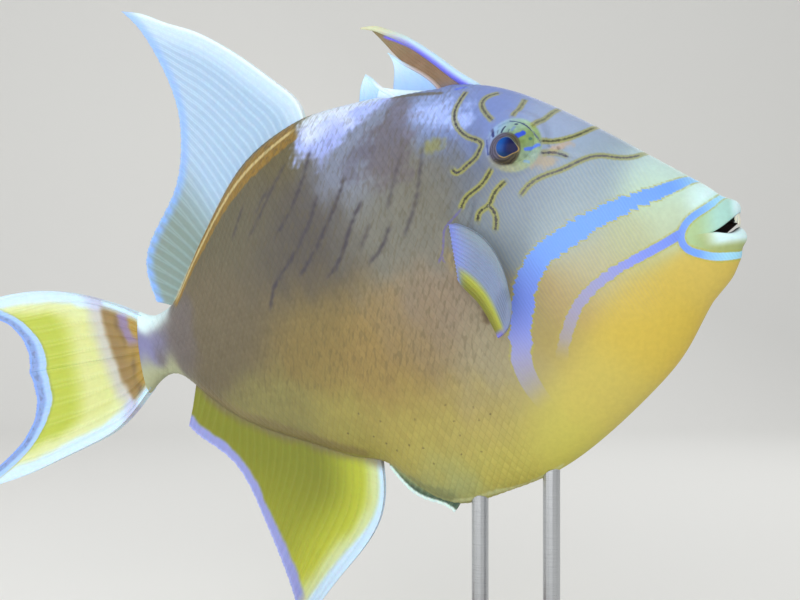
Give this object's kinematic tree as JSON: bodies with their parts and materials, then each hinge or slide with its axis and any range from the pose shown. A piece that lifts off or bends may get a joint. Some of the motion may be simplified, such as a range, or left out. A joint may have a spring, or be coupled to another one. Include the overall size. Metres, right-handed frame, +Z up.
{
  "type": "queen triggerfish",
  "caption": "Life-size still model of a queen triggerfish, head tilted up and fins spread, held by two rods over a flat wooden base.",
  "frame": {"origin": "centre of the underside of the stand's base, on the floor", "axes": "+X towards the snout along the floor, +Y to the fish's left, +Z up"},
  "size_m": [0.4901, 0.13, 0.3576],
  "materials": {
    "skin": "painted skin, satin, with scale relief",
    "fin": "painted translucent fin membrane, satin",
    "eye": "clear glossy eye",
    "tooth": "ivory",
    "wood": "oiled dark walnut",
    "steel": "brushed"
  },
  "bodies": {
    "root": {"lips": "skin", "head": "skin", "trunk": "skin", "hind_body": "skin", "caudal_peduncle": "skin", "eye_right": "eye", "eye_left": "eye", "upper_teeth": "tooth", "first_dorsal_fin": "fin", "third_dorsal_spine": "fin", "second_dorsal_fin_front": "fin", "second_dorsal_fin_rear": "fin", "anal_fin": "fin", "pelvic_fin": "fin", "pectoral_fin_right": "fin", "pectoral_fin_left": "fin", "caudal_fin_upper_lobe": "fin", "caudal_fin_lower_lobe": "fin", "stand_base": "wood", "stand_rod_front": "steel", "stand_rod_rear": "steel"}
  },
  "joints": []
}
